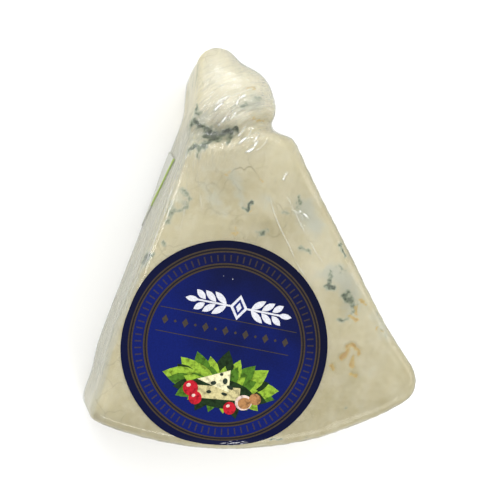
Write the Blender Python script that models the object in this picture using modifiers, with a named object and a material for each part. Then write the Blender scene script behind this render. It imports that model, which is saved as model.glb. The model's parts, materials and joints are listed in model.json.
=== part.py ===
"""A wedge of blue cheese in tight clear film, lying on its back face, shown face up.

Metres, +Z up. The wedge is cut from a round wheel: its point looks along +Y and
its curved rind along -Y. Plan sizes are first given from the wheel's axis.
"""

import math

import bmesh
import bpy
from mathutils import Matrix, Vector, noise

# The rind's curve and the two cuts, left (-1) and right (+1)
RIND_RADIUS = 0.0851
RIND_CENTRE = (0.0002, -0.0156)
HALF_ANGLE = math.radians(24.0)
THICKNESS = 0.0476
CUT_OFFSET = {-1: 0.0018, 1: 0.0029}
CORNER_ROUND = {-1: 0.0028, 1: 0.0060}
CORNER_FLARE = {-1: -0.0014, 1: 0.0015}
FLARE_START = -0.0730
FLARE_END = -0.0825
EDGE_ROUND = 0.0034

# The crack that parts the broken point from the body: one slow wave across the face
CRACK_MIDDLE_Y = -0.0218
CRACK_SWING = 0.0012
CRACK_WAVE = 0.018
CRACK_LEFT_STRETCH = 2.2
CRACK_LOWEST_X = -0.0040
CRACK_HALF_GAP = 0.0010
SHOULDER_ROUND = 0.0028

# The broken point in plan: three arcs down its right side, each with its first and last angle
NOSE = {"centre": (-0.0033, -0.0065), "radius": 0.0063, "angles": (146, 42)}
CHEEK = {"centre": (0.0006, -0.0146), "radius": 0.0097, "angles": (78, 6)}
JOWL = {"centre": (0.0050, -0.0172), "radius": 0.0058, "angles": (18, -34)}
POINT_LEFT_BULGE = {-0.0140: 0.0020, -0.0210: 0.0016}
POINT_FRONT = 0.0462
POINT_ROUND = 0.0040
POINT_BACK_SHARE = 0.85
POINT_NARROWS_TO = (-0.0020, -0.0230)
NOSE_DROP = 0.0050
DROOP_START = -0.0125
DROOP_LENGTH = 0.0115

# The roll along the broken point's lower edge, which stands a little proud of the face
ROLL_CENTRE = (0.0004, -0.0164, 0.0434)
ROLL_RADII = (0.0092, 0.0052, 0.0056)
ROLL_TURN = math.radians(9.0)

# The core that still holds the broken point to the body, under the crack
CORE_FRONT = 0.0438
CORE_INSET = {-1: -0.0001, 1: 0.0040}
CORE_SPAN = (-0.0320, -0.0145)
CORE_WIDENS = 0.0040

# Points along each kind of line
ARC_STEPS = 6
RIND_STEPS = 20
CUT_STEPS = 10
SHOULDER_STEPS = 4
CRACK_STEPS = 12
ROUND_STEPS = 3
ROLL_SEGMENTS = (32, 16)
WELD_WITHIN = 0.00002

# Everything starts this far below the base plane and is cut off flat there
BASE_SPARE = 0.0006
BASE_CLEARANCE = 0.00012
MERGE_WITHIN = 0.0001

# Soft unevenness of the pressed curd under the film
VOXEL = 0.0007
SMOOTH_FACTOR = 0.5
SMOOTH_STEPS = 14
RELIEF_DEPTH = 0.0007
RELIEF_SIZE = 0.011
HOLLOWS = (
    {"centre": (-0.0050, -0.0335), "radius": 0.0085, "depth": 0.0009},
    {"centre": (0.0075, -0.0420), "radius": 0.0070, "depth": -0.0006},
    {"centre": (0.0165, -0.0450), "radius": 0.0060, "depth": 0.0010},
    {"centre": (0.0290, -0.0720), "radius": 0.0075, "depth": 0.0005},
)
WEDGE_TRIANGLES = 6200

# Labels
LABEL_CENTRE = (-0.0063, -0.0745)
LABEL_RADIUS = 0.0252
LABEL_THICKNESS = 0.00035
LABEL_GAP = 0.00032
LABEL_SEAT_MARGIN = 0.0015
LABEL_SEGMENTS = 60
LABEL_RING_SHARES = (0.42, 0.68, 0.82, 0.90, 0.96, 1.0)
LABEL_SEAT_FADE = 0.006

# The corner of a second label that shows low on the left cut face
SIDE_LABEL_CORNER_ALONG = 0.0315
SIDE_LABEL_CORNER_HEIGHT = 0.0310
SIDE_LABEL_NEAR_LEAN = math.radians(8.0)
SIDE_LABEL_FAR_LEAN = math.radians(31.0)
SIDE_LABEL_FOOT = 0.0022
SIDE_LABEL_BLUNT = 0.0006
SIDE_LABEL_ROWS = 9
SIDE_LABEL_COLUMNS = 8

# Colours
CHEESE_CREAM = (0.80, 0.76, 0.60)
LABEL_BLUE = (0.020, 0.028, 0.170)
LABEL_WHITE = (0.80, 0.81, 0.76)


def clear_scene():
    for obj in list(bpy.data.objects):
        bpy.data.objects.remove(obj, do_unlink=True)


def new_collection(name):
    collection = bpy.data.collections.new(name)
    bpy.context.scene.collection.children.link(collection)
    return collection


def new_material(name, colour, roughness):
    material = bpy.data.materials.new(name)
    material.use_nodes = True
    shader = material.node_tree.nodes["Principled BSDF"]
    shader.inputs["Base Color"].default_value = (*colour, 1.0)
    shader.inputs["Roughness"].default_value = roughness
    shader.inputs["Metallic"].default_value = 0.0
    return material


def new_object(name, mesh, collection):
    obj = bpy.data.objects.new(name, mesh)
    collection.objects.link(obj)
    return obj


def mesh_from_bmesh(name, bm):
    mesh = bpy.data.meshes.new(name)
    bm.to_mesh(mesh)
    bm.free()
    return mesh


def evaluated_mesh(obj):
    graph = bpy.context.evaluated_depsgraph_get()
    graph.update()
    return bpy.data.meshes.new_from_object(obj.evaluated_get(graph), depsgraph=graph)


def drop(*objects):
    for obj in objects:
        bpy.data.objects.remove(obj, do_unlink=True)


def arc(centre, radius, start, end, steps):
    cx, cy = centre
    angles = (start + (end - start) * i / steps for i in range(steps + 1))
    return [(cx + radius * math.cos(a), cy + radius * math.sin(a)) for a in angles]


def smooth_step(value):
    share = min(1.0, max(0.0, value))
    return share * share * (3.0 - 2.0 * share)


def side_x(side, y):
    """Plan x of the left (-1) or right (+1) cut face at a given y."""
    flare = CORNER_FLARE[side] * smooth_step((FLARE_START - y) / (FLARE_START - FLARE_END))
    return side * (CUT_OFFSET[side] + flare - y * math.tan(HALF_ANGLE))


def rind_corner(side):
    """Centre of the fillet between a cut face and the rind, and its two end angles."""
    outward = Vector((side * math.cos(HALF_ANGLE), math.sin(HALF_ANGLE)))
    towards_rind = Vector((side * math.sin(HALF_ANGLE), -math.cos(HALF_ANGLE)))
    on_cut = Vector((side_x(side, FLARE_END), FLARE_END))
    axis = Vector(RIND_CENTRE)
    sideways = (on_cut - axis).dot(outward) - CORNER_ROUND[side]
    reach = math.sqrt((RIND_RADIUS - CORNER_ROUND[side]) ** 2 - sideways**2)
    centre = axis + outward * sideways + towards_rind * reach
    spoke = centre - axis
    full_turn = 2 * math.pi
    on_cut_face = math.atan2(outward.y, outward.x) % full_turn
    on_rind = math.atan2(spoke.y, spoke.x) % full_turn
    return centre, on_cut_face, on_rind


def side_points(side, top_y, end_y):
    ys = (top_y + (end_y - top_y) * i / CUT_STEPS for i in range(CUT_STEPS + 1))
    return [(side_x(side, y), y) for y in ys]


def body_outline():
    """The sector from the crack down to the rind, anticlockwise from the top left."""
    left_centre, left_cut, left_rind = rind_corner(-1)
    right_centre, right_cut, right_rind = rind_corner(1)
    left_end = left_centre.y + CORNER_ROUND[-1] * math.sin(HALF_ANGLE)
    right_end = right_centre.y + CORNER_ROUND[1] * math.sin(HALF_ANGLE)
    crack = crack_points(side_x(-1, CRACK_MIDDLE_Y), side_x(1, CRACK_MIDDLE_Y), -CRACK_HALF_GAP)
    top_right_y = crack[-1][1] - SHOULDER_ROUND
    points = side_points(-1, crack[0][1], left_end)[:-1]
    points += arc(left_centre, CORNER_ROUND[-1], left_cut, left_rind, ARC_STEPS)
    points += arc(RIND_CENTRE, RIND_RADIUS, left_rind, right_rind, RIND_STEPS)[1:-1]
    right_cut += 2 * math.pi
    points += arc(right_centre, CORNER_ROUND[1], right_rind, right_cut, ARC_STEPS)
    points += side_points(1, right_end, top_right_y)[1:-1]
    shoulder = (side_x(1, top_right_y) - SHOULDER_ROUND, top_right_y)
    points += arc(shoulder, SHOULDER_ROUND, HALF_ANGLE, math.pi / 2, SHOULDER_STEPS)
    points += [point for point in reversed(crack[1:]) if point[0] < shoulder[0] - SHOULDER_ROUND / 2]
    return points


def crack_points(left, right, shift):
    """Points along the crack from left to right, moved up or down by a shift."""
    points = []
    for i in range(CRACK_STEPS + 1):
        x = left + (right - left) * i / CRACK_STEPS
        stretch = CRACK_LEFT_STRETCH if x < CRACK_LOWEST_X else 1.0
        wave = math.cos(2 * math.pi * (x - CRACK_LOWEST_X) / (CRACK_WAVE * stretch))
        points.append((x, CRACK_MIDDLE_Y - CRACK_SWING * wave + shift))
    return points


def point_outline():
    """The broken point, anticlockwise from its lower left, along the crack and over the nose."""
    sides = [(side_x(-1, y) - bulge, y) for y, bulge in POINT_LEFT_BULGE.items()]
    right_side = []
    for form in (NOSE, CHEEK, JOWL):
        first, last = (math.radians(angle) for angle in form["angles"])
        right_side += arc(form["centre"], form["radius"], first, last, ARC_STEPS)
    lowest_x, lowest_y = right_side[-1]
    crack = crack_points(sides[-1][0], lowest_x, CRACK_HALF_GAP)
    return sides + crack[1:-1] + right_side[::-1]


def core_outline():
    """The part under the crack, set in from the broken faces on the right."""
    low, high = CORE_SPAN
    ends = [(-1, high), (-1, low), (1, low), (1, high)]
    return [(side_x(side, y) - side * CORE_INSET[side], y) for side, y in ends]


def rounded_slab(name, outline, bottom, top, rounding, collection):
    """An outline as a 2D curve, extruded from bottom to top with rounded rims."""
    curve = bpy.data.curves.new(name, "CURVE")
    curve.dimensions = "2D"
    curve.fill_mode = "BOTH"
    curve.extrude = (top - bottom) / 2 - rounding
    curve.bevel_depth = rounding
    curve.bevel_resolution = ROUND_STEPS
    curve.offset = -rounding
    spline = curve.splines.new("POLY")
    spline.points.add(len(outline) - 1)
    for point, (x, y) in zip(spline.points, outline):
        point.co = (x, y, 0.0, 1.0)
    spline.use_cyclic_u = True
    obj = new_object(name, curve, collection)
    obj.location = (0.0, 0.0, (top + bottom) / 2)
    bpy.context.view_layer.update()
    mesh = evaluated_mesh(obj)
    mesh.transform(obj.matrix_world)
    drop(obj)
    bm = bmesh.new()
    bm.from_mesh(mesh)
    bmesh.ops.remove_doubles(bm, verts=bm.verts, dist=WELD_WITHIN)
    bmesh.ops.recalc_face_normals(bm, faces=bm.faces)
    return bm


def broken_point(collection):
    """The point as a rounded slab that narrows to the back and droops at the nose."""
    bm = rounded_slab("point", point_outline(), -BASE_SPARE, POINT_FRONT, POINT_ROUND, collection)
    px, py = POINT_NARROWS_TO
    for vertex in bm.verts:
        height = vertex.co.z / POINT_FRONT
        share = POINT_BACK_SHARE + (1.0 - POINT_BACK_SHARE) * height
        vertex.co.x = px + (vertex.co.x - px) * share
        droop = NOSE_DROP * smooth_step((vertex.co.y - DROOP_START) / DROOP_LENGTH)
        vertex.co.y = py + (vertex.co.y - py) * share
        vertex.co.z -= droop * max(0.0, height - 0.5) * 2.0
    return bm


def crack_core(collection):
    """The core as a slab that widens on its right towards the back, where the crack ends."""
    bm = rounded_slab("core", core_outline(), -BASE_SPARE, CORE_FRONT, EDGE_ROUND / 2, collection)
    for vertex in bm.verts:
        if vertex.co.x > 0.0:
            vertex.co.x += CORE_WIDENS * (1.0 - vertex.co.z / CORE_FRONT)
    return bm


def jowl_roll():
    bm = bmesh.new()
    around, down = ROLL_SEGMENTS
    bmesh.ops.create_uvsphere(bm, u_segments=around, v_segments=down, radius=1.0)
    turn = Matrix.Rotation(ROLL_TURN, 4, "Z")
    bm.transform(Matrix.Translation(ROLL_CENTRE) @ turn @ Matrix.Diagonal((*ROLL_RADII, 1.0)))
    return bm


def label_share(x, y):
    """0 on the label's seat, rising to 1 a little way outside it."""
    reach = math.hypot(x - LABEL_CENTRE[0], y - LABEL_CENTRE[1])
    return min(1.0, max(0.0, (reach - LABEL_RADIUS - LABEL_SEAT_MARGIN) / LABEL_SEAT_FADE))


def relief(co):
    """Lift of the front face at a point: broad hollows, then low unevenness."""
    lift = 0.0
    for hollow in HOLLOWS:
        cx, cy = hollow["centre"]
        reach = math.hypot(co.x - cx, co.y - cy) / hollow["radius"]
        lift -= hollow["depth"] * math.exp(-reach * reach)
    lift += RELIEF_DEPTH * noise.noise(co / RELIEF_SIZE)
    return lift * label_share(co.x, co.y)


def build_wedge(parts, helpers):
    """Body, core and rolls melted into one skin, as the tight film shows them."""
    pieces = [
        rounded_slab("body", body_outline(), -BASE_SPARE, THICKNESS, EDGE_ROUND, helpers),
        crack_core(helpers),
        broken_point(helpers),
        jowl_roll(),
    ]
    joined = bmesh.new()
    for piece in pieces:
        mesh = mesh_from_bmesh("piece", piece)
        joined.from_mesh(mesh)
        bpy.data.meshes.remove(mesh)
    raw = new_object("raw_wedge", mesh_from_bmesh("raw_wedge", joined), helpers)
    remesh = raw.modifiers.new("skin", "REMESH")
    remesh.mode = "VOXEL"
    remesh.voxel_size = VOXEL
    smooth = raw.modifiers.new("tension", "SMOOTH")
    smooth.factor = SMOOTH_FACTOR
    smooth.iterations = SMOOTH_STEPS
    mesh = evaluated_mesh(raw)
    drop(raw)
    normals = [vertex.normal.copy() for vertex in mesh.vertices]
    for vertex, normal in zip(mesh.vertices, normals):
        vertex.co += normal * relief(vertex.co) * max(0.0, normal.z) ** 0.5
    fine = new_object("fine_wedge", mesh, helpers)
    thin = fine.modifiers.new("thin", "DECIMATE")
    triangles = sum(len(p.vertices) - 2 for p in mesh.polygons)
    thin.ratio = WEDGE_TRIANGLES / triangles
    coarse = evaluated_mesh(fine)
    drop(fine)
    bm = bmesh.new()
    bm.from_mesh(coarse)
    for vertex in bm.verts:
        if abs(vertex.co.z) < BASE_CLEARANCE:
            vertex.co.z = math.copysign(BASE_CLEARANCE, vertex.co.z)
    plane = bm.verts[:] + bm.edges[:] + bm.faces[:]
    cut = bmesh.ops.bisect_plane(
        bm, geom=plane, dist=0.0, plane_co=(0, 0, 0), plane_no=(0, 0, -1), clear_outer=True
    )
    rim_points = [v for v in cut["geom_cut"] if isinstance(v, bmesh.types.BMVert)]
    for vertex in rim_points:
        vertex.co.z = 0.0
    bmesh.ops.remove_doubles(bm, verts=rim_points, dist=MERGE_WITHIN)
    rim = [e for e in bm.edges if e.is_boundary]
    bmesh.ops.edgeloop_fill(bm, edges=rim)
    bmesh.ops.triangulate(bm, faces=bm.faces)
    bmesh.ops.recalc_face_normals(bm, faces=bm.faces)
    return new_object("wrapped_wedge", mesh_from_bmesh("wrapped_wedge", bm), parts)


def laid_on(target, bm, name, parts, helpers):
    """Lay an open sheet on the wedge, a small gap above it, and give it its thickness."""
    sheet = new_object(name + "_sheet", mesh_from_bmesh(name, bm), helpers)
    wrap = sheet.modifiers.new("wrap", "SHRINKWRAP")
    wrap.target = target
    wrap.wrap_method = "NEAREST_SURFACEPOINT"
    wrap.wrap_mode = "ABOVE_SURFACE"
    wrap.offset = LABEL_GAP
    thick = sheet.modifiers.new("paper", "SOLIDIFY")
    thick.thickness = LABEL_THICKNESS
    thick.offset = 1.0
    mesh = evaluated_mesh(sheet)
    drop(sheet)
    solid = bmesh.new()
    solid.from_mesh(mesh)
    bmesh.ops.triangulate(solid, faces=solid.faces)
    return new_object(name, mesh_from_bmesh(name, solid), parts)


def build_front_label(wedge, parts, helpers):
    bm = bmesh.new()
    cx, cy = LABEL_CENTRE
    top = THICKNESS + LABEL_GAP
    middle = bm.verts.new((cx, cy, top))
    rings = []
    for share in LABEL_RING_SHARES:
        ring = []
        for i in range(LABEL_SEGMENTS):
            angle = 2 * math.pi * i / LABEL_SEGMENTS
            x = cx + share * LABEL_RADIUS * math.cos(angle)
            y = cy + share * LABEL_RADIUS * math.sin(angle)
            ring.append(bm.verts.new((x, y, top)))
        rings.append(ring)
    for i in range(LABEL_SEGMENTS):
        j = (i + 1) % LABEL_SEGMENTS
        bm.faces.new((middle, rings[0][i], rings[0][j]))
        for inner, outer in zip(rings, rings[1:]):
            bm.faces.new((inner[i], outer[i], outer[j], inner[j]))
    return laid_on(wedge, bm, "front_label", parts, helpers)


def build_side_label(wedge, parts, helpers):
    """The label's corner: rows of points across the left cut face, narrowing upwards."""
    along = Vector((-math.sin(HALF_ANGLE), -math.cos(HALF_ANGLE), 0.0))
    outward = Vector((-math.cos(HALF_ANGLE), math.sin(HALF_ANGLE), 0.0))
    start = outward * (CUT_OFFSET[-1] * math.cos(HALF_ANGLE) + LABEL_GAP)
    height = SIDE_LABEL_CORNER_HEIGHT - SIDE_LABEL_FOOT
    bm = bmesh.new()
    rows = []
    for i in range(SIDE_LABEL_ROWS + 1):
        below = max(SIDE_LABEL_BLUNT, height * i / SIDE_LABEL_ROWS)
        near = SIDE_LABEL_CORNER_ALONG - below * math.tan(SIDE_LABEL_NEAR_LEAN)
        far = SIDE_LABEL_CORNER_ALONG + below * math.tan(SIDE_LABEL_FAR_LEAN)
        row = []
        for j in range(SIDE_LABEL_COLUMNS + 1):
            reach = near + (far - near) * j / SIDE_LABEL_COLUMNS
            z = SIDE_LABEL_CORNER_HEIGHT - below
            row.append(bm.verts.new(start + along * reach + Vector((0, 0, z))))
        rows.append(row)
    for upper, lower in zip(rows, rows[1:]):
        for j in range(SIDE_LABEL_COLUMNS):
            bm.faces.new((upper[j], lower[j], lower[j + 1], upper[j + 1]))
    bm.normal_update()
    if sum(face.normal.dot(outward) for face in bm.faces) < 0:
        bmesh.ops.reverse_faces(bm, faces=bm.faces)
    return laid_on(wedge, bm, "side_label", parts, helpers)


def centre_on_base(objects):
    """Move everything so that the box's bottom centre is the origin."""
    corners = [v.co for obj in objects for v in obj.data.vertices]
    middle_x = (min(c.x for c in corners) + max(c.x for c in corners)) / 2
    middle_y = (min(c.y for c in corners) + max(c.y for c in corners)) / 2
    shift = Matrix.Translation((-middle_x, -middle_y, 0.0))
    for obj in objects:
        obj.data.transform(shift)
    print("wheel axis at", round(-middle_x, 5), round(-middle_y, 5))


def main():
    clear_scene()
    parts = new_collection("wrapped_cheese_wedge")
    helpers = new_collection("helpers")
    wedge = build_wedge(parts, helpers)
    front = build_front_label(wedge, parts, helpers)
    side = build_side_label(wedge, parts, helpers)
    centre_on_base((wedge, front, side))
    wedge.data.materials.append(new_material("cheese_in_film", CHEESE_CREAM, 0.35))
    front.data.materials.append(new_material("printed_label", LABEL_BLUE, 0.5))
    side.data.materials.append(new_material("paper_label", LABEL_WHITE, 0.6))
    for obj in (wedge, front, side):
        obj.data.shade_smooth()
        print(obj.name, len(obj.data.polygons), [round(v, 5) for v in obj.dimensions])


main()
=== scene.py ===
import json
import math

import bpy
import numpy as np
from mathutils import Matrix, Vector, noise

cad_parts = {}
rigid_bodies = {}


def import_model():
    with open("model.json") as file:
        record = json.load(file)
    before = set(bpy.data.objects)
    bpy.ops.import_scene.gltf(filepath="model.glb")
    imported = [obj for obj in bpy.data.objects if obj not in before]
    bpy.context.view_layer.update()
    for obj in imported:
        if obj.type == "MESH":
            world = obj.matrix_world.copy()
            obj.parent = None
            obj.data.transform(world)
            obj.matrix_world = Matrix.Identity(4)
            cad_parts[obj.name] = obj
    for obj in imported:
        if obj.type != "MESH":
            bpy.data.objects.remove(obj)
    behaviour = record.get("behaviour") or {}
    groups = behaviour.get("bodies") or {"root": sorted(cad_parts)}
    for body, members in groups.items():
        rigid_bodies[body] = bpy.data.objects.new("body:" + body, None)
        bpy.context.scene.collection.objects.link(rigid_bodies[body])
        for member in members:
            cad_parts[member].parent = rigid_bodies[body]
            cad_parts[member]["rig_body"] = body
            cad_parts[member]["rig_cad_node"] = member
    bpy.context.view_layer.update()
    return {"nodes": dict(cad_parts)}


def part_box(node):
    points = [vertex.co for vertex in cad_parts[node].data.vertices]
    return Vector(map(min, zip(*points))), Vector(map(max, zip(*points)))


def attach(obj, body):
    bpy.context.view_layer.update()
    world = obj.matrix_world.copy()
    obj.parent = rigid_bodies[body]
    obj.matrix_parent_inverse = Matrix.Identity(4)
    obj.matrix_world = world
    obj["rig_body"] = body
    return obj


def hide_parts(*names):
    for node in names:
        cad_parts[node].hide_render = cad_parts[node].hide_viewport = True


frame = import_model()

# A wedge of blue cheese in shrunk clear film, lying on its back face. The point looks along +Y,
# the curved rind along -Y, and the camera looks down on the cut front face.
mm = 0.001
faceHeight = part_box("front_label")[0].z  # the front face, where the label starts
frontStart = 30 * mm  # the height from which a skin counts as the front's

# The cut faces run out from the wheel's axis, which lies near the point
wheelAxis = (-0.0012, 0.0507)
halfAngle = math.radians(24.0)
leftOutward = Vector((-math.cos(halfAngle), math.sin(halfAngle), 0.0))
rightOutward = Vector((math.cos(halfAngle), math.sin(halfAngle), 0.0))


def deselectAll():
    if bpy.context.object and bpy.context.object.mode != "OBJECT":
        bpy.ops.object.mode_set(mode="OBJECT")
    bpy.ops.object.select_all(action="DESELECT")


def makeActive(piece):
    deselectAll()
    piece.select_set(True)
    bpy.context.view_layer.objects.active = piece


def applyModifier(piece, kind, **settings):
    makeActive(piece)
    bpy.ops.object.modifier_add(type=kind)
    modifier = piece.modifiers[-1]
    for name, value in settings.items():
        setattr(modifier, name, value)
    bpy.ops.object.modifier_apply(modifier=modifier.name)


def inEditMode(piece, *operators):
    makeActive(piece)
    bpy.ops.object.mode_set(mode="EDIT")
    bpy.ops.mesh.select_all(action="SELECT")
    for operator, settings in operators:
        operator(**settings)
    bpy.ops.object.mode_set(mode="OBJECT")


def smoothPiece(piece, rounds, **group):
    applyModifier(piece, "SMOOTH", factor=0.5, iterations=rounds, **group)


def copyOfPiece(source, name):
    makeActive(source)
    bpy.ops.object.duplicate()
    piece = bpy.context.active_object
    piece.name = name
    piece.data.name = name
    return piece


# A CAD node's mesh as a piece of its own, with its loose triangles merged
def copyOfNode(nodeName, name):
    piece = copyOfPiece(frame["nodes"][nodeName], name)
    piece.parent = None
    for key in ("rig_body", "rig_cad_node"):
        del piece[key]
    piece.data.materials.clear()
    inEditMode(piece, (bpy.ops.mesh.remove_doubles, {"threshold": 0.01 * mm}))
    return piece


def dropPiece(piece):
    makeActive(piece)
    bpy.ops.object.delete()


def readVectors(items, key):
    flat = np.empty(len(items) * 3)
    items.foreach_get(key, flat)
    return flat.reshape(-1, 3)


def readPoints(piece):
    return readVectors(piece.data.vertices, "co")


def readNormals(piece):
    return readVectors(piece.data.vertices, "normal")


def writePoints(piece, points):
    piece.data.vertices.foreach_set("co", points.ravel())
    piece.data.update()


def writeField(piece, name, values):
    attribute = piece.data.attributes.new(name, "FLOAT", "POINT")
    attribute.data.foreach_set("value", values.astype(np.float32))


def writeUv(piece, name, places):
    layer = piece.data.uv_layers.new(name=name)
    corners = np.empty(len(piece.data.loops), int)
    piece.data.loops.foreach_get("vertex_index", corners)
    layer.data.foreach_set("uv", places[corners].ravel())


# Smooth noise with lumps of this size, another one for each seed
def noiseAt(points, size, seed=0.0):
    shift = Vector((seed * 17.3, seed * -9.1, seed * 5.7))
    return np.array([noise.noise(Vector(p) + shift) for p in points / size])


# Runs from 0 at start to 1 at end, and start may be the larger
def fade(values, start, end):
    share = np.clip((values - start) / (end - start), 0.0, 1.0)
    return share * share * (3.0 - 2.0 * share)


# A curve through the path's corners, as short straight steps
def smoothPath(path, cuts=5):
    corners = [np.array(p, float) for p in path]
    if len(corners) < 3:
        return corners
    corners = [2 * corners[0] - corners[1]] + corners + [2 * corners[-1] - corners[-2]]
    points = []
    for a, b, c, d in zip(corners, corners[1:], corners[2:], corners[3:]):
        for t in np.arange(cuts) / cuts:
            bend = (2 * a - 5 * b + 4 * c - d) * t * t + (3 * b - a - 3 * c + d) * t**3
            points.append(b + 0.5 * ((c - a) * t + bend))
    return points + [corners[-2]]


# Signed distance from a path and the share of its length at the nearest place
def measureTo(flat, path):
    points = smoothPath(path)
    if len(points) == 1:
        return np.linalg.norm(flat - points[0], axis=1), np.full(len(flat), 0.5)
    best = np.full(len(flat), 1e6)
    along = np.zeros(len(flat))
    for i, (start, end) in enumerate(zip(points, points[1:])):
        step = end - start
        share = np.clip(((flat - start) @ step) / (step @ step), 0.0, 1.0)
        away = flat - start - share[:, None] * step
        side = np.where(step[0] * away[:, 1] < step[1] * away[:, 0], -1.0, 1.0)
        gap = np.linalg.norm(away, axis=1)
        closer = gap < np.abs(best)
        best[closer] = (gap * side)[closer]
        along[closer] = (i + share[closer]) / (len(points) - 1)
    return best, along


# How much of each mark, a path with its half width and strength, lies on a point
def strokesOn(flat, strokes):
    most = np.zeros(len(flat))
    for path, halfWidth, strength in strokes:
        reach = measureTo(flat, path)[0] / halfWidth
        most = np.maximum(most, strength * np.exp(-0.6 * reach * reach))
    return most


# Signed distance to the nearest line and its strength, from which a shader draws it sharp
def writeThinLines(piece, name, flat, lines, mask):
    nearest = np.full(len(flat), 9.0)
    strength = np.zeros(len(flat))
    for path, weight in lines:
        away, along = measureTo(flat, path)
        ends = fade(along, 0.0, 0.2) * fade(along, 1.0, 0.8)
        closer = np.abs(away) < np.abs(nearest)
        nearest[closer] = away[closer]
        strength[closer] = (weight * ends * fade(np.abs(away), 1.0, 0.6))[closer]
    writeField(piece, name + "Away", nearest)
    writeField(piece, name + "Strength", strength * mask)


def onFront(points, normals):
    return fade(normals[:, 2], 0.15, 0.55) * fade(points[:, 2], frontStart, frontStart + 10 * mm)


# How far a normal turns to the left cut face
def onLeft(normals):
    return fade(normals @ np.array(leftOutward), 0.45, 0.80)


view = {
    "aim": (0.0001, -0.0012, 0.0476),
    "distance": 0.40,
    "lean": math.radians(8.0),  # towards the left cut face, which shows as a narrow band
    "roll": math.radians(2.85),
    "fieldWidth": 0.122,  # what the picture's width takes in at that distance
}


def addCamera():
    ahead = Vector((math.sin(view["lean"]), 0.0, -math.cos(view["lean"])))
    side = Vector((math.cos(view["lean"]), 0.0, math.sin(view["lean"])))
    level = Vector((0.0, 1.0, 0.0))
    right = side * math.cos(view["roll"]) - level * math.sin(view["roll"])
    up = side * math.sin(view["roll"]) + level * math.cos(view["roll"])
    place = Vector(view["aim"]) - ahead * view["distance"]
    bpy.ops.object.camera_add(location=place)
    camera = bpy.context.active_object
    turn = Matrix((right, up, -ahead)).transposed()
    camera.matrix_world = Matrix.Translation(place) @ turn.to_4x4()
    camera.data.sensor_width = 36.0
    camera.data.lens = camera.data.sensor_width * view["distance"] / view["fieldWidth"]
    camera.data.clip_start = 0.01
    bpy.context.scene.camera = camera
    print("camera placed")


# An sRGB colour of 0 to 255 as a linear one
def paint(red, green, blue):
    return tuple(
        c / 12.92 if c <= 0.04045 else ((c + 0.055) / 1.055) ** 2.4
        for c in (red / 255, green / 255, blue / 255)
    ) + (1.0,)


def newMaterial(name):
    material = bpy.data.materials.new(name)
    material.use_nodes = True
    tree = material.node_tree
    tree.nodes.clear()
    output = tree.nodes.new("ShaderNodeOutputMaterial")
    return material, tree, output.inputs["Surface"]


def addNode(tree, kind, inputs=None, **settings):
    made = tree.nodes.new("ShaderNode" + kind)
    for name, value in settings.items():
        setattr(made, name, value)
    for name, value in (inputs or {}).items():
        if isinstance(value, bpy.types.NodeSocket):
            tree.links.new(value, made.inputs[name])
        else:
            made.inputs[name].default_value = value
    return made


def sums(tree, operation, first, second=0.0):
    return addNode(tree, "Math", {0: first, 1: second}, operation=operation).outputs[0]


def product(tree, *values):
    result = values[0]
    for value in values[1:]:
        result = sums(tree, "MULTIPLY", result, value)
    return result


def total(tree, *values):
    result = values[0]
    for value in values[1:]:
        result = sums(tree, "ADD", result, value)
    return result


# A noise moved to swing about zero, as strong as amount
def around(tree, value, amount):
    return sums(tree, "MULTIPLY", sums(tree, "SUBTRACT", value, 0.5), amount)


def between(tree, value, low, high):
    return product(tree, sums(tree, "GREATER_THAN", value, low), sums(tree, "LESS_THAN", value, high))


def steps(tree, value, start, end, low=0.0, high=1.0):
    limits = {"Value": value, "From Min": start, "From Max": end, "To Min": low, "To Max": high}
    return addNode(tree, "MapRange", limits, interpolation_type="SMOOTHSTEP").outputs["Result"]


def blendColours(tree, share, first, second):
    made = addNode(tree, "Mix", {0: share, 6: first, 7: second}, data_type="RGBA")
    return made.outputs[2]


# A share of an sRGB colour laid over another colour
def layOver(tree, share, under, colour):
    return blendColours(tree, share, under, paint(*colour))


# Object coordinates from a centre, turned about Z and measured in steps of size
def objectPlace(tree, size=(1, 1, 1), turn=0.0, centre=(0, 0, 0)):
    place = addNode(tree, "TexCoord").outputs["Object"]
    inputs = {"Vector": place, "Location": centre, "Rotation": (0, 0, turn), "Scale": size}
    return addNode(tree, "Mapping", inputs, vector_type="TEXTURE").outputs["Vector"]


def cloud(tree, place, scale, detail=3.0, roughness=0.55, warp=0.0):
    inputs = {"Vector": place, "Scale": scale, "Detail": detail, "Roughness": roughness}
    return addNode(tree, "TexNoise", {**inputs, "Distortion": warp}).outputs["Fac"]


def field(tree, name):
    return addNode(tree, "Attribute", attribute_name=name).outputs["Fac"]


# 1 along the lines written under this name, falling to 0 within the width in millimetres
def thinLine(tree, name, width):
    reach = sums(tree, "DIVIDE", field(tree, name + "Away"), width)
    falling = sums(tree, "EXPONENT", product(tree, reach, reach, -1.0))
    return product(tree, falling, field(tree, name + "Strength"))


def finishPiece(piece, material, nodeName):
    if material:
        piece.data.materials.clear()
        piece.data.materials.append(material)
    makeActive(piece)
    bpy.ops.object.shade_smooth_by_angle(angle=math.radians(40))
    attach(piece, "root")
    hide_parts(nodeName)
    print(piece.name, len(piece.data.polygons), "faces")


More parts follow.
